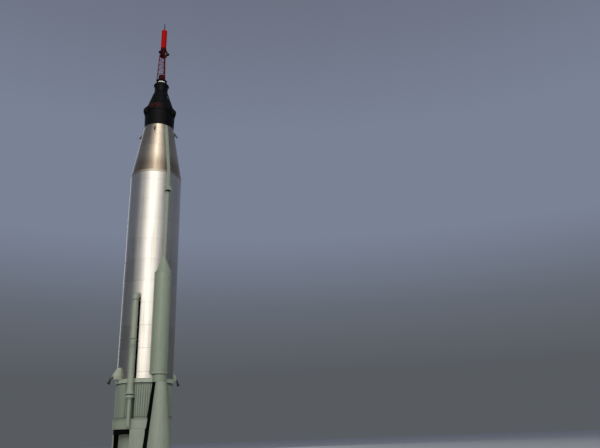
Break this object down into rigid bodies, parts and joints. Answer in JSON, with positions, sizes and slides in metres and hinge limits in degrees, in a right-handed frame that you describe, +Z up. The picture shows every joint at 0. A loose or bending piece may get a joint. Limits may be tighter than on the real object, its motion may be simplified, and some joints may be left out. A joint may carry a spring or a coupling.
{
  "type": "space rocket",
  "caption": "Standing launch rocket with a bare steel tank, side pods, gimballed engine bells, black crew capsule and red escape tower.",
  "frame": {"origin": "on the long axis, at the underside of the flat cover that closes the centre engine's bell, level with the nozzle exits", "axes": "+Z up along the vehicle, -Y through the front equipment pod and front booster engine, +X through the right side engine"},
  "size_m": [4.3706, 4.914, 28.7],
  "materials": {
    "steel": "polished",
    "cone_steel": "satin",
    "paint": "satin",
    "pale_paint": "satin",
    "black": "satin",
    "shield_black": "matte",
    "engine_metal": "satin",
    "dark_nozzle": "satin",
    "red": "gloss",
    "dark_red": "satin",
    "white": "satin"
  },
  "bodies": {
    "airframe": {"tank_cylinder": "steel", "tank_cone": "cone_steel", "tank_end_ring": "paint", "boost_skirt": "paint", "boost_band": "pale_paint", "heat_shield": "shield_black", "bay_wall_right": "pale_paint", "bay_wall_left": "pale_paint", "nacelle_front": "pale_paint", "nacelle_rear": "pale_paint", "nacelle_root_front": "black", "nacelle_root_rear": "black", "pod_front": "paint", "pod_rear": "paint", "pod_foot_front": "paint", "pod_foot_rear": "paint", "raceway_front": "paint", "raceway_rear": "paint", "raceway_cone": "paint", "valve_fairing": "paint", "lox_elbow": "pale_paint", "lox_line_upper": "pale_paint", "lox_line_lower": "pale_paint", "lox_cone": "pale_paint", "lox_feed_pipe": "pale_paint", "vernier_fairing_right": "paint", "vernier_fairing_left": "paint", "gimbal_bracket_front": "engine_metal", "gimbal_bracket_rear": "engine_metal", "centre_bell": "engine_metal", "centre_cover": "dark_nozzle", "adapter": "black", "clamp_ring": "black", "capsule_cone": "black", "capsule_neck": "black", "antenna_housing": "black", "tower_ring": "white", "tower_base": "dark_red", "tower_truss": "dark_red", "nozzle_block": "dark_red", "escape_nozzle_1": "dark_nozzle", "escape_nozzle_2": "dark_nozzle", "escape_nozzle_3": "dark_nozzle", "escape_motor": "red", "nose_spike": "red", "stay_lug_1": "paint", "stay_lug_2": "paint", "stay_lug_3": "paint", "stay_lug_4": "paint"},
    "gimbal_front": {"gimbal_cross_front": "engine_metal"},
    "engine_front": {"booster_bell_front": "engine_metal"},
    "gimbal_rear": {"gimbal_cross_rear": "engine_metal"},
    "engine_rear": {"booster_bell_rear": "engine_metal"},
    "side_engine_right": {"vernier_nozzle_right": "dark_nozzle"},
    "side_engine_left": {"vernier_nozzle_left": "dark_nozzle"}
  },
  "joints": [
    {"name": "front_engine_pitch", "type": "hinge", "parent": "airframe", "child": "gimbal_front", "pos_m": [0, -1.65, 1.78], "axis": [1, 0, 0], "range_deg": [-5, 5]},
    {"name": "front_engine_yaw", "type": "hinge", "parent": "gimbal_front", "child": "engine_front", "pos_m": [0, -1.65, 1.78], "axis": [0, 1, 0], "range_deg": [-5, 5]},
    {"name": "rear_engine_pitch", "type": "hinge", "parent": "airframe", "child": "gimbal_rear", "pos_m": [0, 1.65, 1.78], "axis": [1, 0, 0], "range_deg": [-5, 5]},
    {"name": "rear_engine_yaw", "type": "hinge", "parent": "gimbal_rear", "child": "engine_rear", "pos_m": [0, 1.65, 1.78], "axis": [0, 1, 0], "range_deg": [-5, 5]},
    {"name": "right_side_engine_swivel", "type": "hinge", "parent": "airframe", "child": "side_engine_right", "pos_m": [1.88, 0, 4.74], "axis": [1, 0, 0], "range_deg": [-70, 70]},
    {"name": "left_side_engine_swivel", "type": "hinge", "parent": "airframe", "child": "side_engine_left", "pos_m": [-1.88, 0, 4.74], "axis": [1, 0, 0], "range_deg": [-70, 70]}
  ]
}
